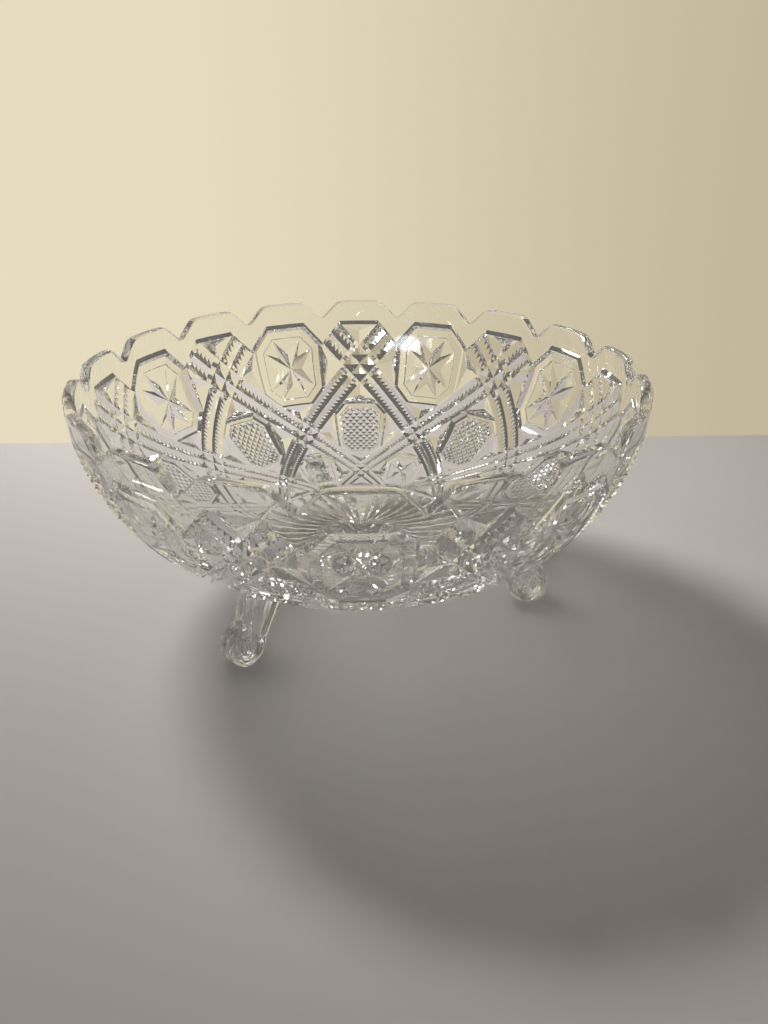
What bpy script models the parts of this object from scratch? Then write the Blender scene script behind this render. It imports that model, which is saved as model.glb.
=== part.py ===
"""A clear pressed-glass bowl: a deep round bowl with a scalloped rim on three scroll feet.

Metres, +Z up.  The origin is on the table under the bowl's axis, and -Y is the front, where one of the
scallops stands in the middle.  The feet are pressed with the bowl; each is its own solid here.
"""

import math

import bmesh
import bpy
from mathutils import Matrix, Vector

MM = 0.001

# The bowl
RIM_RADIUS = 107.4 * MM  # outside, at the mouth
BOWL_DEPTH = 75.9 * MM  # scallop tips down to the underside
CLEARANCE = 19.3 * MM  # table to the underside
RIM_WALL = 4.2 * MM  # wall at the mouth
BASE_WALL = 6.0 * MM  # wall at the middle of the base
SIDE_POWER = 2.6  # how long the side stays upright below the rim; 2 is an ellipse
BASE_POWER = 2.1  # how flat the base is; 2 is an ellipse
RIM_ROUNDING = 1.2 * MM
TURN_STEPS = 72
PROFILE_STEPS = 16

# The scalloped rim
SCALLOPS = 18
SCALLOP_DEPTH = 7.4 * MM  # tips down to the bottom of a notch
SCALLOP_FLAT = 0.53  # share of a scallop's width that its flat top takes
NOTCH_ROUNDING = 1.0 * MM

# The feet
FEET = 3
FRONT_FOOT_ANGLE = math.radians(-40)  # from the front, towards +X
FOOT_WIDTH = 9.0 * MM
SCROLL_RADIUS = 8.2 * MM
SCROLL_REACH = 69.0 * MM  # bowl's axis to the centre of the scroll
PAD_FLAT = 0.4 * MM  # how much of the scroll's bottom is ground off, for a flat to stand on
INNER_LEAVE = 185  # degrees round the scroll at which the leg's inner edge leaves it
OUTER_LEAVE = 105  # and its outer edge
SCROLL_KNOTS = (225, 315, 0, 45, 85)  # the points in between that keep the scroll round
THROAT_RISE = 0.18  # scroll radii that the outer edge stands off the scroll as it leaves
LEG_WIDTH = 19.0 * MM  # inside to outside, where the leg leaves the bowl
LEG_REACH = 58.0 * MM  # bowl's axis to the middle of the leg where it leaves the bowl
FOOT_EDGE = 1.0 * MM  # rounding of the foot's edges
EDGE_SEGMENTS = 2
SHARP_EDGE = math.radians(40)  # an edge turning more than this is rounded
JOINT_GAP = 0.3 * MM  # between a foot and the bowl

HEIGHT = CLEARANCE + BOWL_DEPTH
QUARTER = math.pi / 2

GLASS_COLOUR = (0.93, 0.94, 0.90, 1.0)
GLASS_IOR = 1.5
GLASS_ROUGHNESS = 0.02


def clear_scene():
    for obj in list(bpy.data.objects):
        bpy.data.objects.remove(obj)


def new_collection(name, hidden=False):
    collection = bpy.data.collections.new(name)
    collection.hide_render = hidden
    bpy.context.scene.collection.children.link(collection)
    return collection


def add_object(name, data, collection):
    obj = bpy.data.objects.new(name, data)
    collection.objects.link(obj)
    return obj


def as_cutter(obj):
    obj.hide_render = True
    obj.display_type = "WIRE"
    return obj


def glass_material(name):
    material = bpy.data.materials.new(name)
    material.use_nodes = True
    shader = material.node_tree.nodes["Principled BSDF"]
    shader.inputs["Base Color"].default_value = GLASS_COLOUR
    shader.inputs["Roughness"].default_value = GLASS_ROUGHNESS
    shader.inputs["Metallic"].default_value = 0.0
    shader.inputs["IOR"].default_value = GLASS_IOR
    shader.inputs["Transmission Weight"].default_value = 1.0
    return material


def wall_point(turn, radius, depth):
    """A point of a wall surface's profile: turn 0 is the mouth, and a quarter turn is the middle of the base."""
    across = radius * max(math.cos(turn), 0.0) ** (2 / SIDE_POWER)
    down = depth * math.sin(turn) ** (2 / BASE_POWER)
    return Vector((across, 0.0, HEIGHT - down))


def wall_profile(radius, depth):
    """The profile from the mouth to the axis, closer together where it curves most."""
    turns = [QUARTER * step / PROFILE_STEPS for step in range(PROFILE_STEPS + 1)]
    points = [wall_point(turn, radius, depth) for turn in turns]
    points[-1].x = 0.0
    return points


def wall_height(radius_at, radius, depth):
    """Height of a wall surface at a distance from the axis."""
    turn = math.acos(min(radius_at / radius, 1.0) ** (SIDE_POWER / 2))
    return wall_point(turn, radius, depth).z


def turned(name, points, collection):
    """A solid turned from a profile that runs from the axis, up the inside and down the outside."""
    shape = bmesh.new()
    verts = [shape.verts.new(point) for point in points]
    for start, end in zip(verts, verts[1:]):
        shape.edges.new((start, end))
    mesh = bpy.data.meshes.new(name)
    shape.to_mesh(mesh)
    shape.free()
    obj = add_object(name, mesh, collection)
    screw = obj.modifiers.new("turn", "SCREW")
    screw.axis = "Z"
    screw.steps = TURN_STEPS
    screw.render_steps = TURN_STEPS
    screw.use_merge_vertices = True
    screw.merge_threshold = 0.00001
    return obj


def bowl_profile():
    inside = wall_profile(RIM_RADIUS - RIM_WALL, BOWL_DEPTH - BASE_WALL)[1:]
    outside = wall_profile(RIM_RADIUS, BOWL_DEPTH)[1:]
    inner_edge = Vector((RIM_RADIUS - RIM_WALL + RIM_ROUNDING / 2, 0, HEIGHT))
    outer_edge = Vector((RIM_RADIUS - RIM_ROUNDING, 0, HEIGHT))
    outer_shoulder = Vector((RIM_RADIUS, 0, HEIGHT - RIM_ROUNDING))
    inner_shoulder = Vector((RIM_RADIUS - RIM_WALL, 0, HEIGHT - RIM_ROUNDING / 2))
    return [*reversed(inside), inner_shoulder, inner_edge, outer_edge, outer_shoulder, *outside]


def flat_shape(name, points, rounded, thickness):
    """A mesh made from a flat outline in X and Y, extruded along Z.  rounded says which points are smooth."""
    curve = bpy.data.curves.new(name, "CURVE")
    curve.dimensions = "2D"
    curve.fill_mode = "BOTH"
    curve.extrude = thickness / 2
    curve.resolution_u = 6
    spline = curve.splines.new("BEZIER")
    spline.bezier_points.add(len(points) - 1)
    spline.use_cyclic_u = True
    for knot, (x, y), smooth in zip(spline.bezier_points, points, rounded):
        knot.co = (x, y, 0)
        knot.handle_left_type = knot.handle_right_type = "AUTO" if smooth else "VECTOR"
    holder = add_object(name + "_outline", curve, bpy.context.scene.collection)
    bpy.context.view_layer.update()
    graph = bpy.context.evaluated_depsgraph_get()
    mesh = bpy.data.meshes.new_from_object(holder.evaluated_get(graph))
    mesh.name = name
    bpy.data.objects.remove(holder)
    weld(mesh)
    return mesh


def weld(mesh):
    """Joins the caps of an extruded outline to its sides."""
    shape = bmesh.new()
    shape.from_mesh(mesh)
    bmesh.ops.remove_doubles(shape, verts=shape.verts, dist=0.000001)
    bmesh.ops.recalc_face_normals(shape, faces=shape.faces)
    shape.to_mesh(mesh)
    shape.free()


def notch_mesh():
    """The V between two scallops, as a solid that lies along the radius."""
    pitch = 2 * math.pi * RIM_RADIUS / SCALLOPS
    half = pitch * (1 - SCALLOP_FLAT) / 2
    above = SCALLOP_DEPTH  # the slopes go on up past the rim, to a clean cut
    tip = NOTCH_ROUNDING
    spread = half / SCALLOP_DEPTH
    outline = [
        (-half - spread * above, above),
        (-spread * tip, tip - SCALLOP_DEPTH),
        (0, 0.35 * tip - SCALLOP_DEPTH),
        (spread * tip, tip - SCALLOP_DEPTH),
        (half + spread * above, above),
    ]
    return flat_shape("notch", outline, [False, False, True, False, False], 4 * RIM_WALL)


def add_notches(bowl, cutters):
    notches = bpy.data.collections.new("rim_notches")
    notches.hide_render = True
    cutters.children.link(notches)
    mesh = notch_mesh()
    middle = RIM_RADIUS - RIM_WALL / 2
    for index in range(SCALLOPS):
        notch = as_cutter(add_object(f"notch_{index}", mesh, notches))
        angle = 2 * math.pi * (index + 0.5) / SCALLOPS
        outward = Matrix.Rotation(QUARTER, 4, "X")
        place = Matrix.Translation((0, -middle, HEIGHT))
        notch.matrix_world = Matrix.Rotation(angle, 4, "Z") @ place @ outward
    cut = bowl.modifiers.new("scallops", "BOOLEAN")
    cut.operation = "DIFFERENCE"
    cut.operand_type = "COLLECTION"
    cut.collection = notches


def make_bowl(parts, cutters, material):
    bowl = turned("bowl", bowl_profile(), parts)
    bowl.data.materials.append(material)
    add_notches(bowl, cutters)
    return bowl


def leg_top():
    """A height at which the whole leg is inside the bowl's outer surface."""
    outer_side = LEG_REACH + LEG_WIDTH / 2
    return wall_height(outer_side, RIM_RADIUS, BOWL_DEPTH) + 2 * BASE_WALL


def foot_outline():
    """The foot from the side: X is the distance from the bowl's axis, Y the height."""
    radius = SCROLL_RADIUS
    centre = Vector((SCROLL_REACH, radius - PAD_FLAT))
    half_pad = math.sqrt(radius**2 - (radius - PAD_FLAT) ** 2)

    def on_scroll(degrees):
        angle = math.radians(degrees)
        return centre + radius * Vector((math.cos(angle), math.sin(angle)))

    underside = wall_height(LEG_REACH, RIM_RADIUS, BOWL_DEPTH)
    inner_top = Vector((LEG_REACH - LEG_WIDTH / 2, leg_top()))
    outer_top = Vector((LEG_REACH + LEG_WIDTH / 2, leg_top()))
    inner_root = Vector((inner_top.x, underside))
    outer_root = Vector((outer_top.x, underside + radius / 2))
    throat = on_scroll(OUTER_LEAVE) + Vector((0, radius * THROAT_RISE))
    before_pad, *after_pad = SCROLL_KNOTS
    knots = [
        (inner_top, False),
        (inner_root, True),
        (on_scroll(INNER_LEAVE), True),
        (on_scroll(before_pad), True),
        (Vector((SCROLL_REACH - half_pad, 0)), False),
        (Vector((SCROLL_REACH + half_pad, 0)), False),
        *((on_scroll(degrees), True) for degrees in after_pad),
        (throat, True),
        (outer_root, True),
        (outer_top, False),
    ]
    return [knot[0] for knot in knots], [knot[1] for knot in knots]


def make_foot(name, angle, parts, material, bowl_room):
    points, rounded = foot_outline()
    foot = add_object(name, flat_shape(name, points, rounded, FOOT_WIDTH), parts)
    foot.data.materials.append(material)
    upright = Matrix.Rotation(QUARTER, 4, "X")
    radial = Matrix.Rotation(angle - QUARTER, 4, "Z")
    foot.matrix_world = radial @ upright
    edge = foot.modifiers.new("edge", "BEVEL")
    edge.width = FOOT_EDGE
    edge.segments = EDGE_SEGMENTS
    edge.limit_method = "ANGLE"
    edge.angle_limit = SHARP_EDGE
    cut = foot.modifiers.new("root", "BOOLEAN")
    cut.operation = "DIFFERENCE"
    cut.object = bowl_room
    return foot


def make_bowl_room(cutters):
    """The bowl's whole body and the gap round it, which a foot's root is cut back to."""
    points = wall_profile(RIM_RADIUS + JOINT_GAP, BOWL_DEPTH + JOINT_GAP)
    top = Vector((0, 0, HEIGHT))
    return as_cutter(turned("bowl_room", [top, *points], cutters))


def foot_name(index):
    names = ("foot_left", "foot_right", "foot_back")
    return names[index] if FEET == len(names) else f"foot_{index}"


def shade_smooth(obj):
    obj.data.shade_smooth()


def main():
    clear_scene()
    parts = new_collection("footed_glass_bowl")
    cutters = new_collection("cutters", hidden=True)
    bowl = make_bowl(parts, cutters, glass_material("bowl_glass"))
    shade_smooth(bowl)
    bowl_room = make_bowl_room(cutters)
    for index in range(FEET):
        name = foot_name(index)
        angle = FRONT_FOOT_ANGLE + 2 * math.pi * index / FEET
        shade_smooth(make_foot(name, angle, parts, glass_material(name + "_glass"), bowl_room))


main()
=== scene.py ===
# %% [markdown]
# # A pressed-glass bowl on three scroll feet
#
# The real bowl is one pressing of clear glass: a plunger presses hot glass into an iron mould, so the
# inside is smooth and every star, band and point stands on the outside.  This lesson models that outside
# the way a mould cutter lays it out: flat first, as straight lines, and wrapped round the bowl after.

import math

import bmesh
import bpy
import numpy as np
from mathutils import Matrix, Vector


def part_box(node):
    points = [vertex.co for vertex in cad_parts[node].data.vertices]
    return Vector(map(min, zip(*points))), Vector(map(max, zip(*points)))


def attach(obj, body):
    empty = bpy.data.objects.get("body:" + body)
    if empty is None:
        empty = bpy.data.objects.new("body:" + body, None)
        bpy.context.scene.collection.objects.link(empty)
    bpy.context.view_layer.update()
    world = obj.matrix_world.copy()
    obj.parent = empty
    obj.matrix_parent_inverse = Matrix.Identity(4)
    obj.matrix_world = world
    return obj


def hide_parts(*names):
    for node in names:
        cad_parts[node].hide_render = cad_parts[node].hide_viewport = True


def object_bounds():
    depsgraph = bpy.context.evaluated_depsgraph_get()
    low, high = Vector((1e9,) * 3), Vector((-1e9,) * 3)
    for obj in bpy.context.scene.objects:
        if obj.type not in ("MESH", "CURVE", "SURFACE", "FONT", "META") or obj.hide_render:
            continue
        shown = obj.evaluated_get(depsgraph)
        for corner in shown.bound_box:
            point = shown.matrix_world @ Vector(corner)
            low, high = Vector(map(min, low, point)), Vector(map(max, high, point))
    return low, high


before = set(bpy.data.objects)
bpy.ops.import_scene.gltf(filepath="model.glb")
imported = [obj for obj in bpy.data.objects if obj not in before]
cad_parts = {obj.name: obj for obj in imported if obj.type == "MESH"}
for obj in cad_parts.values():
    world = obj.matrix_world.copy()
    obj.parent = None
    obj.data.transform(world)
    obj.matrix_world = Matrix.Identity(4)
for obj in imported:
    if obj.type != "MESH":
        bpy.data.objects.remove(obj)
CAD_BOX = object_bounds()
MM = 0.001
print("nodes:", sorted(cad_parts))

# %% [markdown]
# ## The camera
#
# It stands in front of the bowl and looks down on it, close enough for the near rim to look much wider
# than the far one.

# %% The camera
low, high = CAD_BOX
HEIGHT = high.z
RIM_RADIUS = (high.y - low.y) / 2
LENS = 31.15
CAMERA_BACK = 0.3231
CAMERA_UP = 0.1998
CAMERA_TILT = math.radians(90 - 27.17)
CAMERA_TURN = math.radians(-1.63)
NEAREST_SEEN = 0.01

camera = bpy.data.objects.new("camera", bpy.data.cameras.new("camera"))
bpy.context.scene.collection.objects.link(camera)
camera.data.lens = LENS
camera.data.clip_start = NEAREST_SEEN
camera.location = (0, -CAMERA_BACK, CAMERA_UP)
camera.rotation_euler = (CAMERA_TILT, 0, CAMERA_TURN)
bpy.context.scene.camera = camera
print(f"bowl {2 * RIM_RADIUS / MM:.1f} mm across, {HEIGHT / MM:.1f} mm high")

# %% [markdown]
# ## The wall
#
# Both surfaces of the wall are superellipses: upright below the rim and rounding into a shallow base.
# The pattern needs a way of measuring down the wall in which a square stays square as the bowl narrows.
# Map makers solved that for the globe: each small step down is divided by the radius there, as on
# Mercator's chart.  One unit, across or down, is the width of one scallop.

# %% Measure down the wall
SCALLOPS = 18
COLUMN = 2 * math.pi / SCALLOPS
SIDE_POWER = 2.6
BASE_POWER = 2.1
WALL_SAMPLES = 8000
CROWDING = 1.5  # draws the samples together near the base
SLOPE_STEP = 0.02  # the wall's slope is taken over twice this, in scallops
RIM_WALL = 4.2 * MM
BASE_WALL = 6.0 * MM
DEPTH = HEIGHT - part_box("bowl")[0].z


def wall(radius, depth, turn):
    """Radius and height of a wall surface, from turn 0 at the mouth to a quarter turn at the base."""
    across = np.clip(np.cos(turn), 0, 1) ** (2 / SIDE_POWER)
    down = np.clip(np.sin(turn), 0, 1) ** (2 / BASE_POWER)
    return radius * across, HEIGHT - depth * down


TURN = (1 - (1 - np.linspace(0, 1, WALL_SAMPLES)) ** CROWDING) * (math.pi / 2)
OUT_R, OUT_Z = wall(RIM_RADIUS, DEPTH, TURN)
IN_R, IN_Z = wall(RIM_RADIUS - RIM_WALL, DEPTH - BASE_WALL, TURN)
steps = np.hypot(np.diff(OUT_R), np.diff(OUT_Z)) / np.maximum((OUT_R[1:] + OUT_R[:-1]) / 2, 1e-6)
DOWN = np.concatenate([[0], np.cumsum(steps)]) / COLUMN


def wrap(point, through=0.0):
    """A point of the flat pattern on the bowl: x is across, y is down and z is the relief, in scallops.
    through runs from 0 on the outside to 1 on the inside."""
    across, down, relief = point
    out = np.array([np.interp(down, DOWN, OUT_R), np.interp(down, DOWN, OUT_Z)])
    inner = np.array([np.interp(down, DOWN, IN_R), np.interp(down, DOWN, IN_Z)])
    above, below = max(down - SLOPE_STEP, 0), down + SLOPE_STEP
    along_r = np.interp(below, DOWN, OUT_R) - np.interp(above, DOWN, OUT_R)
    along_z = np.interp(below, DOWN, OUT_Z) - np.interp(above, DOWN, OUT_Z)
    length = math.hypot(along_r, along_z) or 1.0
    normal = np.array([-along_z, along_r]) / length
    radius, height = out + (inner - out) * through + normal * relief * out[0] * COLUMN
    angle = across * COLUMN
    return Vector((radius * math.sin(angle), -radius * math.cos(angle), height))


for down in (0, 1, 2, 3, 4):
    print(f"{down} scallops down: {wrap((0, down, 0)).length / MM:.1f} mm from the origin")

# %% [markdown]
# ## The pattern, laid out flat
#
# Two families of bands cross like lattice work.  Each band is three V grooves with a ridge between each
# pair.  Everything else is what the lattice leaves over: an octagon in each diamond, and small triangles
# round it.  All the outlines are grooves, so the sheet starts at groove depth, the lines are cut into it
# with bisect_plane, and each cell is then raised in its own way.  Half a repeat is enough, because the
# rest is its mirror image.

# %% The lines of the lattice
LEAN = 1.16  # down for each one across, along a band
CROSS = 0.24  # half the width of a crossing
FIRST_ROW = 0.87  # the first row of crossings
HALF_BAND = LEAN * CROSS
TOP = 0.315  # where the panels start, over the middle of each scallop
TOP_HALF = 0.255  # half the flat length of that line
BOTTOM = 3.80  # where the lattice ends, near the base
GROOVE = 0.078  # how deep the outlines are
SHEET_LEFT, SHEET_RIGHT = -1.0, 2.0
BANDS = range(-3, 5)  # enough of each family to cross the whole sheet
TINY = 1e-5

sheet = bmesh.new()
KIND = sheet.faces.layers.int.new("kind")
CROSSING, STRIP, TRIANGLE, FRAME, STAR, FIELD = range(1, 7)


def cut(point, normal, where=lambda face: True):
    """Cuts a line into the faces that pass the test."""
    faces = [face for face in sheet.faces if where(face)]
    edges = {edge for face in faces for edge in face.edges}
    verts = {vert for face in faces for vert in face.verts}
    bmesh.ops.bisect_plane(
        sheet, geom=[*verts, *edges, *faces], dist=TINY, plane_co=point, plane_no=normal
    )


def cut_rising(value, where=lambda face: True):
    cut((0, value, 0), (-LEAN, 1, 0), where)


def cut_falling(value, where=lambda face: True):
    cut((0, value, 0), (LEAN, 1, 0), where)


def rising(point):
    return point.y - LEAN * point.x


def falling(point):
    return point.y + LEAN * point.x


def off_band(value):
    """Distance straight down from the middle of the nearest band of a family."""
    return (value - FIRST_ROW) % (2 * LEAN) - LEAN


def in_rising(point):
    return abs(off_band(rising(point))) < HALF_BAND


def in_falling(point):
    return abs(off_band(falling(point))) < HALF_BAND


def in_cell(point):
    return not in_rising(point) and not in_falling(point)


corners = [(SHEET_LEFT, 0), (SHEET_RIGHT, 0), (SHEET_RIGHT, BOTTOM), (SHEET_LEFT, BOTTOM)]
sheet.faces.new([sheet.verts.new((x, y, 0)) for x, y in corners])
for band in BANDS:
    for side in (-HALF_BAND, 0, HALF_BAND):
        line = FIRST_ROW + LEAN + 2 * LEAN * band + side
        cut_rising(line)
        cut_falling(line)
print(len(sheet.faces), "faces after the lattice is cut")

# %% [markdown]
# The panels end in a line that follows the scallops: flat over the middle of each, and sloping down to
# the notches beside it.  Above it the wall is plain, so what is above it is cut away for now.


# %% The top line of the panels
def nearest_column(x):
    return math.floor(x + 0.5)


def top_line(x):
    """How far down the panels start."""
    offset = abs(x - nearest_column(x))
    return TOP + LEAN * max(0.0, offset - TOP_HALF)


SHOULDER = FIRST_ROW - HALF_BAND
cut((0, TOP, 0), (0, 1, 0))
for column in range(-1, 3):
    start = TOP - LEAN * TOP_HALF

    def beside(face, column=column):
        reaches_up = min(vert.co.y for vert in face.verts) < SHOULDER
        return nearest_column(face.calc_center_median().x) == column and reaches_up

    cut_rising(start - LEAN * column, beside)
    cut_falling(start + LEAN * column, beside)

above = [f for f in sheet.faces if f.calc_center_median().y < top_line(f.calc_center_median().x) - TINY]
bmesh.ops.delete(sheet, geom=above, context="FACES")
print(len(above), "faces cut away above the panels")

# %% [markdown]
# Each diamond that the lattice leaves is cut down to an octagon by a line on each of its four corners.
# What is cut off are the small triangles that fill up beside the crossings.

# %% Cut the octagons
ROWS = (
    # column, middle, half width, top, bottom
    (0, FIRST_ROW, 0.475, TOP, 1.46),
    (1, FIRST_ROW + LEAN, 0.44, 1.44, 2.64),
    (0, FIRST_ROW + 2 * LEAN, 0.44, 2.60, 3.74),
)


def same_cell(point, column, centre):
    """Whether a point is in the diamond round that column and depth, or a copy of it two columns off."""
    offset = (point.x - column + 1) % 2 - 1
    return in_cell(point) and abs(offset) + abs(point.y - centre) / LEAN < 1


for column, centre, half_width, top, bottom in ROWS:

    def here(face, column=column, centre=centre):
        return same_cell(face.calc_center_median(), column, centre)

    for level in (top, bottom):
        cut((0, level, 0), (0, 1, 0), here)
    for repeat in (-2, 0, 2):
        for side in (-half_width, half_width):
            cut((column + repeat + side, 0, 0), (1, 0, 0), here)


def octagon_row(point):
    """Which octagon a point is in, or None."""
    for row, (column, centre, half_width, top, bottom) in enumerate(ROWS):
        offset = (point.x - column + 1) % 2 - 1
        if same_cell(point, column, centre) and abs(offset) < half_width and top < point.y < bottom:
            return row
    return None


def kind_of(point):
    if in_rising(point) and in_falling(point):
        return CROSSING
    if in_rising(point) or in_falling(point):
        return STRIP
    return TRIANGLE if octagon_row(point) is None else FRAME


for face in sheet.faces:
    face[KIND] = kind_of(face.calc_center_median())
for vert in sheet.verts:
    vert.co.z = -GROOVE
print({kind: sum(f[KIND] == kind for f in sheet.faces) for kind in (CROSSING, STRIP, TRIANGLE, FRAME)})

# %% [markdown]
# ## Raising the cells
#
# A poke puts a point in the middle of a face and joins it to every corner.  That is just what a crossing
# is, four blunt points between V grooves, and the small triangles beside it are three-sided ones.

# %% Points on the crossings and triangles
TRIANGLE_RISE = 0.8 * GROOVE


def poke(faces, kind, rise):
    made = bmesh.ops.poke(sheet, faces=faces, center_mode="MEAN")
    for vert in made["verts"]:
        vert.co.z += rise
    for face in made["faces"]:
        face[KIND] = kind
    return made


poke([f for f in sheet.faces if f[KIND] == CROSSING], CROSSING, GROOVE)
poke([f for f in sheet.faces if f[KIND] == TRIANGLE], TRIANGLE, TRIANGLE_RISE)
print(len(sheet.faces), "faces with the points raised")

# %% [markdown]
# An octagon is a raised button with a steep side, which is the dark line round it in clear glass.  Its
# top dishes gently to a flat inner octagon with a small step round it.  Under the rim that holds an
# eight-pointed star, cut as eight V grooves that taper from the middle to the corners.  In the next row
# the dish is narrower, and it holds a field of diamond points.

# %% The buttons
SIDE = 0.045  # across the steep side of a button
STAR_DISH = 0.085
FIELD_DISH = 0.05
DISH_FALL = 0.022
STEP = 0.012  # width of the small step round the inner octagon
STEP_FALL = DISH_FALL / 4
STAR_DEPTH = 0.08
STAR_WAIST = 0.52  # how far out the star is narrowest between two points
FIELD_DEPTH = 0.03


def inset(face, across, level):
    """Insets a face and sets what is left of it at a level."""
    bmesh.ops.inset_individual(sheet, faces=[face], thickness=across, use_even_offset=True)
    for vert in face.verts:
        vert.co.z = level


def button(face, dish):
    """Raises one octagon and returns the flat face in its middle."""
    inset(face, SIDE, 0)
    inset(face, dish, -DISH_FALL)
    inset(face, STEP, -STEP_FALL)
    inset(face, STEP, -STEP_FALL)
    return face


def star(face):
    """Cuts an eight-pointed star into an octagon."""
    face[KIND] = STAR
    fan = bmesh.ops.poke(sheet, faces=[face], center_mode="BOUNDS")
    centre = fan["verts"][0]
    waists = bmesh.ops.poke(sheet, faces=fan["faces"], center_mode="MEAN")
    for vert in waists["verts"]:
        out = vert.co - centre.co  # the mean of a triangle is two thirds of the way out
        vert.co = centre.co + out * STAR_WAIST * 3 / 2
    for part in waists["faces"]:
        part[KIND] = STAR
    centre.co.z -= STAR_DEPTH


octagons = [f for f in sheet.faces if f[KIND] == FRAME]
rows = [octagon_row(f.calc_center_median()) for f in octagons]
dishes = [STAR_DISH if ROWS[row][0] == 0 else FIELD_DISH for row in rows]
inner = [(button(face, dish), row) for face, dish, row in zip(octagons, dishes, rows)]
for face, row in inner:
    if ROWS[row][0] == 0:
        star(face)
    else:
        face[KIND] = FIELD
print("octagons by row:", sorted(rows))

# %% [markdown]
# The field of diamond points is two more families of lines, as fine as a file's.  Each little diamond is
# poked, so it rises from the lines to a point, just as the mould's small pits would press it.

# %% Diamond points
POINT_SPACING = 0.128
FIELD_LINES = 60


def is_field(face):
    return face[KIND] == FIELD


for step in range(-FIELD_LINES, FIELD_LINES):
    cut_rising(step * POINT_SPACING, is_field)
    cut_falling(step * POINT_SPACING, is_field)
field_faces = [f for f in sheet.faces if is_field(f)]
inside = {v for f in field_faces for v in f.verts if all(is_field(g) for g in v.link_faces)}
for vert in inside:
    vert.co.z -= FIELD_DEPTH
poke(field_faces, FIELD, FIELD_DEPTH)
print(len(field_faces), "diamond points")

# %% [markdown]
# Each strip of a band is a ridge between two grooves, and the ridge is notched, so that it stands up as
# a row of small teeth.  The strip is cut lengthwise at the teeth's shoulders and crosswise at every
# notch, and a poke on each of the little faces along its crest makes the tooth.

# %% The notched ridges
TEETH = 17
SHOULDER_SHARE = 0.36  # of the way from the ridge to the groove
NOTCH_STEP = 2 * (LEAN - HALF_BAND) / TEETH


def is_rising_strip(face):
    return face[KIND] == STRIP and in_rising(face.calc_center_median())


def is_falling_strip(face):
    return face[KIND] == STRIP and in_falling(face.calc_center_median())


for band in BANDS:
    base = FIRST_ROW + LEAN + 2 * LEAN * band
    for ridge in (-HALF_BAND / 2, HALF_BAND / 2):
        for side in (-1, 1):
            shoulder = base + ridge + side * SHOULDER_SHARE * HALF_BAND / 2
            cut_rising(shoulder, is_rising_strip)
            cut_falling(shoulder, is_falling_strip)
    for notch in range(1, TEETH):
        line = base + HALF_BAND + notch * NOTCH_STEP
        cut_falling(line, is_rising_strip)
        cut_rising(line, is_falling_strip)


def from_ridge(value):
    """How far a line of a family is from its nearest ridge: 0 on it and 1 in the groove."""
    return abs(abs(off_band(value)) - HALF_BAND / 2) / (HALF_BAND / 2)


def own_value(face, point):
    return rising(point) if in_rising(face.calc_center_median()) else falling(point)


def on_crossing(vert):
    return any(face[KIND] == CROSSING for face in vert.link_faces)


strips = [f for f in sheet.faces if f[KIND] == STRIP]
crests = []
for face in strips:
    for vert in face.verts:
        if not on_crossing(vert):
            vert.co.z = -GROOVE * min(from_ridge(own_value(face, vert.co)), 1)
    if from_ridge(own_value(face, face.calc_center_median())) < SHOULDER_SHARE / 2:
        crests.append(face)
tops = poke(crests, STRIP, 0)
for vert in tops["verts"]:
    vert.co.z = 0
print(len(crests), "teeth")

# %% [markdown]
# Long flat faces would cut straight through the curved wall once the sheet is wrapped, so the frames
# get extra lines across them.  Then everything outside the half repeat is cut off.

# %% Trim to half a repeat
FRAME_STEP = 0.1


def is_frame(face):
    return face[KIND] == FRAME


for line in np.arange(TOP + FRAME_STEP, BOTTOM, FRAME_STEP):
    cut((0, line, 0), (0, 1, 0), is_frame)
for line in np.arange(0, 1, FRAME_STEP):
    cut((line, 0, 0), (1, 0, 0), is_frame)
for side, outward in ((0, -1), (1, 1)):
    bmesh.ops.bisect_plane(
        sheet,
        geom=[*sheet.verts, *sheet.edges, *sheet.faces],
        dist=TINY,
        plane_co=(side, 0, 0),
        plane_no=(outward, 0, 0),
        clear_outer=True,
    )
print(len(sheet.faces), "faces in half a repeat")

# %% [markdown]
# ## The rim, the inside and the base
#
# The plain parts grow out of the sheet's own edges by extruding them, so they always meet it.  The top
# edge goes up to the scalloped rim, over it, and down the smooth inside.  The bottom edge goes on to the
# middle of the base.  Each extruded row is given its place in the flat pattern, and how far through the
# wall it is, which is kept in a layer of its own.

# %% The scalloped rim
SCALLOP_DEPTH = 0.235
SCALLOP_FLAT = 0.285
SCALLOP_SOFT = 0.04
NOTCH_START, NOTCH_SOFT = 0.93, 0.08  # rounds off the bottom of each notch
RIM_CROWN = 0.02
RIM_STEP = 0.045  # across the slope between the panels and the plain wall
PLAIN_ROWS = (0.8, 0.6, 0.4, 0.2, 0.06, 0.0)
LONGEST = 0.03
ON_LINE = 1e-3
THROUGH = sheet.verts.layers.float.new("through")


def soft_ramp(value, soft):
    """The value if it is above 0, and 0 if it is below, with the corner rounded off."""
    return (value + math.sqrt(value * value + soft * soft)) / 2


def rim_line(x):
    """How far down the rim is, from the flat of a scallop to the notch beside it."""
    offset = abs(x - nearest_column(x))
    share = soft_ramp(offset - SCALLOP_FLAT, SCALLOP_SOFT) / (0.5 - SCALLOP_FLAT)
    notch = soft_ramp(share - NOTCH_START, NOTCH_SOFT)
    return RIM_CROWN + SCALLOP_DEPTH * (share - notch)


def plain_line(x, share):
    """How far down a row of the plain wall is, from the rim at 0 to the slope above the panels at 1."""
    return rim_line(x) + share * (top_line(x) - RIM_STEP - rim_line(x))


def boundary(test):
    return [e for e in sheet.edges if e.is_boundary and all(test(v.co) for v in e.verts)]


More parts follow.
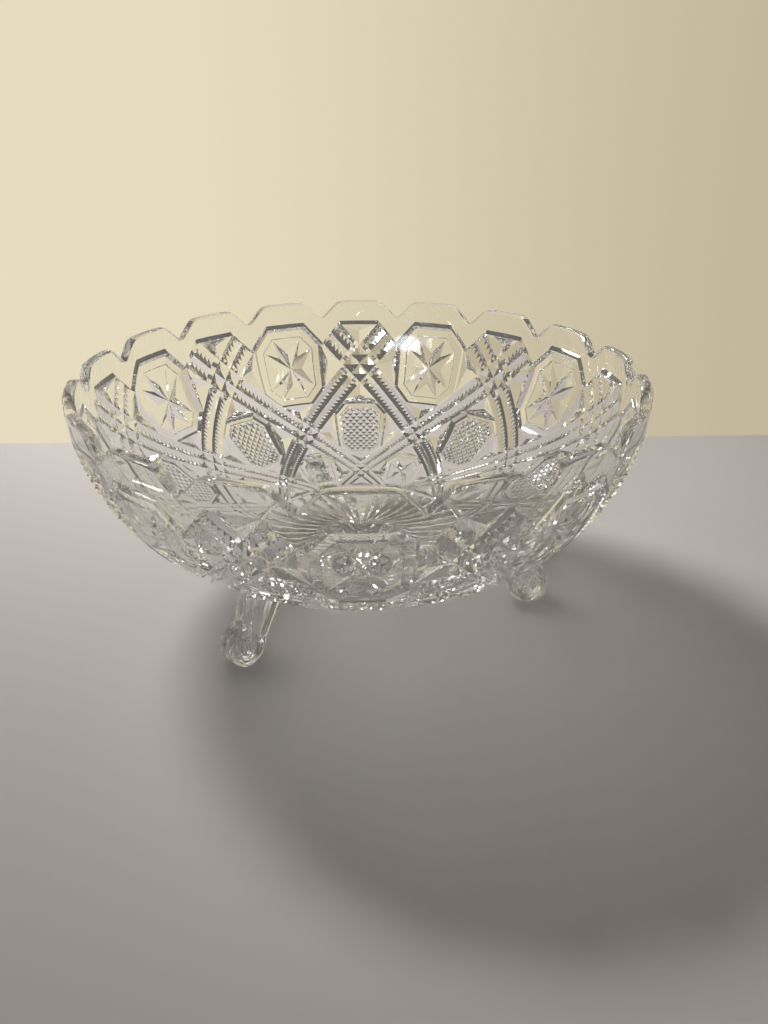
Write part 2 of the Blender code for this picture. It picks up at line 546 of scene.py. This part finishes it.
def grow(edges, place, smooth=True):
    """Extrudes a row from these edges.  place gives each new point from its x: down, relief, through."""
    made = bmesh.ops.extrude_edge_only(sheet, edges=edges)["geom"]
    verts = [part for part in made if isinstance(part, bmesh.types.BMVert)]
    for vert in verts:
        x = vert.co.x
        down, relief, through = place(x)
        vert.co = (x, down, relief)
        vert[THROUGH] = through
    for face in made:
        if isinstance(face, bmesh.types.BMFace):
            face.smooth = smooth
    fresh = set(verts)
    return [e for e in made if isinstance(e, bmesh.types.BMEdge) and set(e.verts) <= fresh]


def on_top_line(point):
    return abs(point.y - top_line(point.x)) < ON_LINE


def split_long(edges, longest):
    for edge in edges:
        pieces = math.ceil(abs(edge.verts[0].co.x - edge.verts[1].co.x) / longest)
        if pieces > 1:
            bmesh.ops.subdivide_edges(sheet, edges=[edge], cuts=pieces - 1)


split_long(boundary(on_top_line), LONGEST)
row = boundary(on_top_line)
print(len(row), "edges along the top of the panels")
row = grow(row, lambda x: (top_line(x) - RIM_STEP, 0.0, 0.0), smooth=False)
for share in PLAIN_ROWS:
    row = grow(row, lambda x, s=share: (plain_line(x, s), 0.0, 0.0))

# %% [markdown]
# The rim was reheated until it ran smooth, so it is crowned.  The plunger's side is plain all the way
# down, and its rows only have to be close enough together to look round.

# %% Over the rim and down the inside
# Each row over the rim: how far through the wall, and its share of the crown.
CROWN = ((0.06, 0.55), (0.16, 0.85), (0.34, 1.0), (0.66, 1.0), (0.84, 0.85), (0.94, 0.55), (1.0, 0.0))
# How far down the inside each row is.
INSIDE_ROWS = [0.04, 0.1, 0.2, 0.3, 0.42, *np.arange(0.54, 6.0, 0.12), 6.3, 6.8, 7.6, 8.6, 10, 12, 15]
FADE = 0.6  # by this depth the inside's rows no longer follow the scallops

for through, rise in CROWN:
    row = grow(row, lambda x, t=through, r=rise: (rim_line(x) - RIM_CROWN * r, 0.0, t))
for level in INSIDE_ROWS:
    row = grow(row, lambda x, d=level: (d + rim_line(x) * max(0.0, 1 - d / FADE), 0.0, 1.0))
inner_end = row
print(len(sheet.faces), "faces with the inside")

# %% [markdown]
# Pressed bowls of this kind nearly always carry a rayed star under the middle of the base, so this one
# has the same, in a plain ring.  It is a zigzag that keeps its angle all the way in to the axis.

# %% The base
RAY = 0.25
RAY_DEPTH = 0.11
BASE_STEP = 0.03  # from the lattice up to the ring
BASE_RING = 0.12
RAY_ROWS = (BOTTOM + BASE_RING + 0.06, 4.5, 5.1, 5.9, 7.0, 8.6, 11.0, 15.0)
CLOSE = 1e-4


def at_bottom(point):
    return abs(point.y - BOTTOM) < CLOSE


row = boundary(at_bottom)
row = grow(row, lambda x: (BOTTOM + BASE_STEP, 0.0, 0.0), smooth=False)
row = grow(row, lambda x: (BOTTOM + BASE_RING, 0.0, 0.0))
first, last = BOTTOM, BOTTOM + BASE_RING
for line in np.arange(RAY, 1, RAY):
    cut(
        (line, 0, 0),
        (1, 0, 0),
        lambda f: first < f.calc_center_median().y < last and all(v[THROUGH] == 0 for v in f.verts),
    )


def ray(x):
    """A zigzag: 0 on the crest of a ray and -1 in the groove beside it."""
    return -abs((x / RAY + 1) % 2 - 1)


ring_edge = boundary(lambda p: abs(p.y - last) < CLOSE)
row = [e for e in ring_edge if all(v[THROUGH] == 0 for v in e.verts)]
for down in RAY_ROWS:
    row = grow(row, lambda x, d=down: (d, RAY_DEPTH * ray(x), 0.0), smooth=False)
outer_end = row
print(len(sheet.faces), "faces in the whole half repeat")

# %% [markdown]
# ## Wrap it round the bowl
#
# Every point is now moved from the flat pattern to its place on the wall.  The half repeat is mirrored
# and turned round the axis nine times, and the seams are welded.

# %% Wrap, mirror and spin
REPEATS = SCALLOPS // 2
SHARP = math.radians(24)  # an edge that turns more than this keeps its crease in the shading
WELD = 2e-6
SLIVER = 1e-7

bmesh.ops.triangulate(sheet, faces=[f for f in sheet.faces if len(f.verts) > 4])
inner_tip = {v for e in inner_end for v in e.verts}
outer_tip = {v for e in outer_end for v in e.verts}
for vert in sheet.verts:
    at_tip = vert in inner_tip or vert in outer_tip
    if at_tip:
        vert.co.z = 0.0
    vert.co = wrap(vert.co, vert[THROUGH])
    if at_tip:
        vert.co.x = vert.co.y = 0.0
geometry = [*sheet.verts, *sheet.edges, *sheet.faces]
copy = bmesh.ops.duplicate(sheet, geom=geometry)["geom"]
copied_faces = [part for part in copy if isinstance(part, bmesh.types.BMFace)]
for part in copy:
    if isinstance(part, bmesh.types.BMVert):
        part.co.x = -part.co.x
bmesh.ops.reverse_faces(sheet, faces=copied_faces)
geometry = [*sheet.verts, *sheet.edges, *sheet.faces]
for repeat in range(1, REPEATS):
    turned = bmesh.ops.duplicate(sheet, geom=geometry)["geom"]
    turned_verts = [part for part in turned if isinstance(part, bmesh.types.BMVert)]
    turn = Matrix.Rotation(2 * math.pi * repeat / REPEATS, 3, "Z")
    bmesh.ops.rotate(sheet, verts=turned_verts, cent=(0, 0, 0), matrix=turn)
bmesh.ops.remove_doubles(sheet, verts=sheet.verts, dist=WELD)
bmesh.ops.dissolve_degenerate(sheet, edges=sheet.edges, dist=SLIVER)
bmesh.ops.triangulate(sheet, faces=[f for f in sheet.faces if len(f.verts) > 4])
bmesh.ops.recalc_face_normals(sheet, faces=sheet.faces)
open_edges = sum(not e.is_manifold for e in sheet.edges)
triangles = sum(len(f.verts) - 2 for f in sheet.faces)
for edge in sheet.edges:
    edge.smooth = edge.calc_face_angle(0.0) < SHARP
glass_ml = sheet.calc_volume(signed=True) * 1e6
print(f"{triangles} triangles, {open_edges} open edges, {glass_ml:.1f} ml of glass")
assert open_edges == 0, "the bowl isn't closed"

# %% [markdown]
# The bowl is a single pressing, so it is a single object.  It stands for the plain bowl of the frame.

# %% Make the bowl's object
bowl_mesh = bpy.data.meshes.new("pressed_bowl")
sheet.to_mesh(bowl_mesh)
sheet.free()
bowl = bpy.data.objects.new("pressed_bowl", bowl_mesh)
bpy.context.scene.collection.objects.link(bowl)
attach(bowl, "root")
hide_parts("bowl")
print(bowl.name, "with", len(bowl_mesh.vertices), "points")

# %% [markdown]
# ## A scroll foot
#
# Each foot is a broad reeded strap that leaves the bowl, narrows, and curls outwards into a scroll.  It
# is modelled as one side face in the upright plane through the bowl's axis: the scroll is spun round its
# centre, and the leg is extruded row by row from the last quarter up to the bowl.  A mirrored copy makes
# the other side, and bridging the two outlines closes it.

# %% The outline of a foot
FOOT_WIDTH = 9.0 * MM
SCROLL_RADIUS = 8.2 * MM
SCROLL_REACH = 69.0 * MM
PAD_FLAT = 0.4 * MM
LEG_REACH = 58.0 * MM
LEG_WIDTH = 19.0 * MM
LEG_BOW, LEG_BOW_START = 1.9, 0.55  # how far the leg's back and front bend in, in mm
JOINT_GAP = 0.3 * MM
CENTRE = Vector((SCROLL_REACH, 0, SCROLL_RADIUS - PAD_FLAT))
LEG_START, LEG_END = 185, 95  # degrees on the scroll where the leg's two edges leave it
ACROSS = 42
LEG_ROWS = 20
SPIN_STEPS = 56
FOOT_WELD = 1e-6


def on_scroll(degrees, share=1.0):
    angle = math.radians(degrees)
    return CENTRE + share * SCROLL_RADIUS * Vector((math.cos(angle), 0, math.sin(angle)))


def underside(radius):
    """Height of the bowl's outer surface at a distance from the axis, less the gap at the joint."""
    return float(np.interp(-radius, -OUT_R, OUT_Z)) - JOINT_GAP


def first_row(share):
    """From one side of the scroll, through its centre, to the other: where the leg begins."""
    if share < 0.5:
        return on_scroll(LEG_START, 1 - 2 * share)
    return on_scroll(LEG_END, 2 * share - 1)


def last_row(share):
    """Along the bowl's outer surface, where the leg ends."""
    radius = LEG_REACH + (share - 0.5) * LEG_WIDTH
    return Vector((radius, 0, underside(radius)))


def leg_point(share, climb):
    """A point of the leg, from the scroll at climb 0 to the bowl at climb 1."""
    start, end = first_row(share), last_row(share)
    waist = 0.5 * (start + end)
    waist.x -= (LEG_BOW * share - LEG_BOW_START) * MM
    return (1 - climb) ** 2 * start + 2 * climb * (1 - climb) * waist + climb**2 * end


foot = bmesh.new()
ACROSS_LEG = foot.verts.layers.float.new("across")
CLIMB = foot.verts.layers.float.new("climb")
row_verts = [foot.verts.new(first_row(i / ACROSS)) for i in range(ACROSS + 1)]
row_edges = [foot.edges.new(pair) for pair in zip(row_verts, row_verts[1:])]
for index, vert in enumerate(row_verts):
    vert[ACROSS_LEG] = index / ACROSS

bmesh.ops.spin(
    foot,
    geom=row_edges[: ACROSS // 2],
    cent=CENTRE,
    axis=(0, -1, 0),
    angle=math.radians(360 - (LEG_START - LEG_END)),
    steps=SPIN_STEPS,
    use_merge=False,
)
edges = row_edges
for step in range(1, LEG_ROWS + 1):
    made = bmesh.ops.extrude_edge_only(foot, edges=edges)["geom"]
    fresh = {part for part in made if isinstance(part, bmesh.types.BMVert)}
    for vert in fresh:
        vert[CLIMB] = step / LEG_ROWS
        vert.co = leg_point(vert[ACROSS_LEG], vert[CLIMB])
    edges = [e for e in made if isinstance(e, bmesh.types.BMEdge) and set(e.verts) <= fresh]
bmesh.ops.remove_doubles(foot, verts=foot.verts, dist=FOOT_WELD)
print(len(foot.faces), "faces on one side of a foot")

# %% [markdown]
# The reeds are fine ridges that run down the leg and curl into the scroll.  Each point is asked how far
# it is from the strap's outer edge.  In the scroll that distance also grows with the turn, which is what
# makes rings into a spiral.  High on the leg a lens-shaped hollow is pressed into each side.

# %% Reeds, thickness and edges
REEDS_ACROSS = 7
REED_HEIGHT = 0.85 * MM
SPIRAL_TURNS = 1.0
HOLLOW_DEPTH = 1.3 * MM
HOLLOW_PLACE = (0.34, 0.62)
HOLLOW_SIZE = (0.10, 0.30)
EDGE_SOFTNESS = 0.9 * MM


def reed_phase(vert):
    out = vert.co - CENTRE
    if vert[CLIMB] == 0:
        turn = (math.degrees(math.atan2(out.z, out.x)) - LEG_START) % 360
        inward = 1 - out.length / SCROLL_RADIUS
        return inward * REEDS_ACROSS / 2 + SPIRAL_TURNS * turn / 360
    return vert[ACROSS_LEG] * REEDS_ACROSS


def half_width(vert):
    """Half the foot's thickness at a point: the reeds stand on it and the hollow is sunk in it."""
    reed = abs(math.sin(math.pi * reed_phase(vert))) - 0.5
    along = (vert[CLIMB] - HOLLOW_PLACE[1]) / HOLLOW_SIZE[1]
    sideways = (vert[ACROSS_LEG] - HOLLOW_PLACE[0]) / HOLLOW_SIZE[0]
    hollow = max(0.0, 1 - along**2 - sideways**2) if vert[CLIMB] > 0 else 0.0
    return FOOT_WIDTH / 2 - REED_HEIGHT / 2 + REED_HEIGHT * reed - HOLLOW_DEPTH * hollow


outline = {v for e in foot.edges if e.is_boundary for v in e.verts}
for vert in foot.verts:
    width = FOOT_WIDTH / 2 - EDGE_SOFTNESS if vert in outline else half_width(vert)
    vert.co.y = -width
    vert.co.z = max(vert.co.z, 0.0)
for face in foot.faces:
    face.smooth = True
side_geometry = [*foot.verts, *foot.edges, *foot.faces]
other = bmesh.ops.duplicate(foot, geom=side_geometry)["geom"]
for part in other:
    if isinstance(part, bmesh.types.BMVert):
        part.co.y = -part.co.y
bmesh.ops.bridge_loops(foot, edges=[e for e in foot.edges if e.is_boundary])
bmesh.ops.recalc_face_normals(foot, faces=foot.faces)
for edge in foot.edges:
    edge.smooth = edge.calc_face_angle(0.0) < 2 * SHARP
open_foot = sum(not e.is_manifold for e in foot.edges)
print(f"{len(foot.faces)} faces in a foot, {open_foot} open edges, {foot.calc_volume() * 1e6:.2f} ml")
assert open_foot == 0, "a foot isn't closed"

# %% [markdown]
# Three feet stand steady on any table, even an uneven one.  Each is a copy of the same foot, turned a
# third of the way round from the last.

# %% Set the three feet under the bowl
FRONT_FOOT = math.radians(-40)
FEET = ("foot_left", "foot_right", "foot_back")


def foot_piece(node, angle):
    """A copy of the foot turned to its place, standing for its plain node."""
    shape = foot.copy()
    bmesh.ops.rotate(
        shape, verts=shape.verts, cent=(0, 0, 0), matrix=Matrix.Rotation(angle - math.pi / 2, 3, "Z")
    )
    mesh = bpy.data.meshes.new("scroll_" + node)
    shape.to_mesh(mesh)
    shape.free()
    piece = bpy.data.objects.new("scroll_" + node, mesh)
    bpy.context.scene.collection.objects.link(piece)
    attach(piece, "root")
    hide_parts(node)
    return piece


feet = [foot_piece(node, FRONT_FOOT + 2 * math.pi * i / len(FEET)) for i, node in enumerate(FEET)]
foot.free()
print("feet:", [piece.name for piece in feet])

# %% [markdown]
# ## Clear glass
#
# Pressed glass is colourless until it is thick, and then it is faintly straw-coloured.  The tint is in
# the volume, so it deepens by itself where light runs a long way inside.  Hot glass also chills against
# the iron before it has quite settled, so the smooth parts are never optically flat: a broad, very
# shallow waviness bends what is seen through them.

# %% The glass
GLASS_IOR = 1.51
GLASS_COLOUR = (0.995, 1.0, 0.985, 1.0)
TINT = (0.92, 0.90, 0.72, 1.0)
TINT_DENSITY = 0.5
WAVE_SCALE = 55.0  # waves to a metre
WAVE_STRENGTH = 0.25
WAVE_HEIGHT = 0.25 * MM
WAVE_DETAIL = 1.0
POLISH = (0.0, 0.035)  # roughness, from fire-polished to slightly rubbed
RUB_SCALE = 24.0
RUB_DETAIL = 3.0
RUB_FROM, RUB_TO = 0.55, 0.8  # the part of the noise where the polish is worn


def noise(nodes, links, scale, detail):
    """Noise that is fixed to the piece."""
    place = nodes.new("ShaderNodeTexCoord")
    texture = nodes.new("ShaderNodeTexNoise")
    texture.inputs["Scale"].default_value = scale
    texture.inputs["Detail"].default_value = detail
    links.new(place.outputs["Object"], texture.inputs["Vector"])
    return texture.outputs["Fac"]


def glass(name):
    material = bpy.data.materials.new(name)
    material.use_nodes = True
    nodes, links = material.node_tree.nodes, material.node_tree.links
    shader = nodes["Principled BSDF"]
    shader.inputs["Base Color"].default_value = GLASS_COLOUR
    shader.inputs["IOR"].default_value = GLASS_IOR
    shader.inputs["Transmission Weight"].default_value = 1.0
    waves = nodes.new("ShaderNodeBump")
    waves.inputs["Strength"].default_value = WAVE_STRENGTH
    waves.inputs["Distance"].default_value = WAVE_HEIGHT
    links.new(noise(nodes, links, WAVE_SCALE, WAVE_DETAIL), waves.inputs["Height"])
    links.new(waves.outputs["Normal"], shader.inputs["Normal"])
    rub = nodes.new("ShaderNodeMapRange")
    rub.inputs["From Min"].default_value = RUB_FROM
    rub.inputs["From Max"].default_value = RUB_TO
    rub.inputs["To Min"].default_value, rub.inputs["To Max"].default_value = POLISH
    links.new(noise(nodes, links, RUB_SCALE, RUB_DETAIL), rub.inputs["Value"])
    links.new(rub.outputs["Result"], shader.inputs["Roughness"])
    tint = nodes.new("ShaderNodeVolumeAbsorption")
    tint.inputs["Color"].default_value = TINT
    tint.inputs["Density"].default_value = TINT_DENSITY
    links.new(tint.outputs["Volume"], nodes["Material Output"].inputs["Volume"])
    return material


pressed_glass = glass("pressed_glass")
for piece in (bowl, *feet):
    piece.data.materials.append(pressed_glass)
print("glass of index", GLASS_IOR, "on", 1 + len(feet), "pieces")

# %% [markdown]
# ## The table, the room and the light
#
# Glass shows mostly what is round it.  A room of one even colour would make the facets vanish, so the
# room here is bright and cream behind the bowl, and much dimmer overhead and on the near side.  The
# table is plain and pale.

# %% The stage
TABLE_BACK = 0.16
TABLE_REACH = 3.0
TABLE_THICKNESS = 0.03
TABLE_DROP = 0.0002  # keeps the table's top just under the feet
TABLE_COLOUR = (0.70, 0.665, 0.64)
TABLE_ROUGHNESS = 0.5


def plain(name, colour, roughness):
    material = bpy.data.materials.new(name)
    material.use_nodes = True
    shader = material.node_tree.nodes["Principled BSDF"]
    shader.inputs["Base Color"].default_value = (*colour, 1.0)
    shader.inputs["Roughness"].default_value = roughness
    return material


def slab(name, lowest, highest, material):
    shape = bmesh.new()
    bmesh.ops.create_cube(shape, size=1.0)
    size = Vector(highest) - Vector(lowest)
    bmesh.ops.scale(shape, vec=size, verts=shape.verts)
    bmesh.ops.translate(shape, vec=(Vector(highest) + Vector(lowest)) / 2, verts=shape.verts)
    mesh = bpy.data.meshes.new(name)
    shape.to_mesh(mesh)
    shape.free()
    mesh.materials.append(material)
    obj = bpy.data.objects.new(name, mesh)
    bpy.context.scene.collection.objects.link(obj)
    return obj


table_paint = plain("table_paint", TABLE_COLOUR, TABLE_ROUGHNESS)
table_low = (-TABLE_REACH, -TABLE_REACH, -TABLE_THICKNESS)
table_high = (TABLE_REACH, TABLE_BACK, -TABLE_DROP)
slab("table", table_low, table_high, table_paint)
print("the table ends", TABLE_BACK, "m behind the bowl's axis")

# %% [markdown]
# The room is painted on the world by direction alone.  One small bright patch is a window, and it gives
# the glass its highlights.

# %% The room
WALL_LEFT = (0.80, 0.715, 0.52, 1.0)
WALL_RIGHT = (0.53, 0.46, 0.32, 1.0)
ROOM_NEAR = (0.17, 0.16, 0.145, 1.0)
CEILING = (0.13, 0.12, 0.11, 1.0)
SKY = (10.0, 10.8, 12.5, 1.0)
SKY_PLACE = Vector((-0.40, -0.90, 0.30)).normalized()
LEFT_TO_RIGHT = (-0.25, 0.5)
NEAR_TO_FAR = (0.0, 0.75)
WALL_TO_CEILING = (0.08, 0.42)
SKY_EDGE = (0.990, 0.997)

world = bpy.data.worlds.new("room")
bpy.context.scene.world = world
world.use_nodes = True
nodes, links = world.node_tree.nodes, world.node_tree.links
background = nodes["Background"]
direction = nodes.new("ShaderNodeTexCoord").outputs["Generated"]
parts = nodes.new("ShaderNodeSeparateXYZ")
links.new(direction, parts.inputs[0])


def ramp(value, start, end):
    """0 before start, 1 after end."""
    node = nodes.new("ShaderNodeMapRange")
    node.interpolation_type = "SMOOTHSTEP"
    node.inputs["From Min"].default_value = start
    node.inputs["From Max"].default_value = end
    links.new(value, node.inputs["Value"])
    return node.outputs["Result"]


def blend(share, first, second):
    node = nodes.new("ShaderNodeMix")
    node.data_type = "RGBA"
    factor, colour_a, colour_b = node.inputs[0], node.inputs[6], node.inputs[7]
    links.new(share, factor)
    for socket, value in ((colour_a, first), (colour_b, second)):
        if isinstance(value, tuple):
            socket.default_value = value
        else:
            links.new(value, socket)
    return node.outputs[2]


towards_sky = nodes.new("ShaderNodeVectorMath")
towards_sky.operation = "DOT_PRODUCT"
towards_sky.inputs[1].default_value = SKY_PLACE
links.new(direction, towards_sky.inputs[0])
wall_colour = blend(ramp(parts.outputs["X"], *LEFT_TO_RIGHT), WALL_LEFT, WALL_RIGHT)
walls = blend(ramp(parts.outputs["Y"], *NEAR_TO_FAR), ROOM_NEAR, wall_colour)
room = blend(ramp(parts.outputs["Z"], *WALL_TO_CEILING), walls, CEILING)
lit_room = blend(ramp(towards_sky.outputs["Value"], *SKY_EDGE), room, SKY)
links.new(lit_room, background.inputs["Color"])
background.inputs["Strength"].default_value = 1.0
print("world:", world.name, "with", len(nodes), "nodes")

# %% [markdown]
# Soft daylight falls on the table from behind and to the left.  Light that enters the wall is often
# reflected inside it many times before it finds a way out, so many bounces are followed: with only a few,
# the steep sides of the pattern would turn black.

# %% The daylight
DAYLIGHT_POWER = 125
DAYLIGHT_COLOUR = (1.0, 0.97, 0.95)
DAYLIGHT_SPREAD = math.radians(33)
DAYLIGHT_BLEND = 1.0
DAYLIGHT_SOFTNESS = 0.26
DAYLIGHT_PLACE = (-0.7, 0.9, 1.1)
DAYLIGHT_TARGET = (-0.08, 0.25, 0)
BOUNCES = 32


def aim(light, place, target):
    light.location = place
    light.rotation_euler = (Vector(target) - Vector(place)).to_track_quat("-Z", "Y").to_euler()
    bpy.context.scene.collection.objects.link(light)


daylight = bpy.data.lights.new("daylight", "SPOT")
daylight.energy = DAYLIGHT_POWER
daylight.color = DAYLIGHT_COLOUR
daylight.spot_size = DAYLIGHT_SPREAD
daylight.spot_blend = DAYLIGHT_BLEND
daylight.shadow_soft_size = DAYLIGHT_SOFTNESS
window = bpy.data.objects.new("daylight", daylight)
aim(window, DAYLIGHT_PLACE, DAYLIGHT_TARGET)
window.visible_glossy = False

scene = bpy.context.scene
scene.view_settings.view_transform = "Standard"
scene.cycles.max_bounces = BOUNCES
scene.cycles.transmission_bounces = BOUNCES
scene.cycles.glossy_bounces = BOUNCES
print("light followed for", BOUNCES, "bounces")
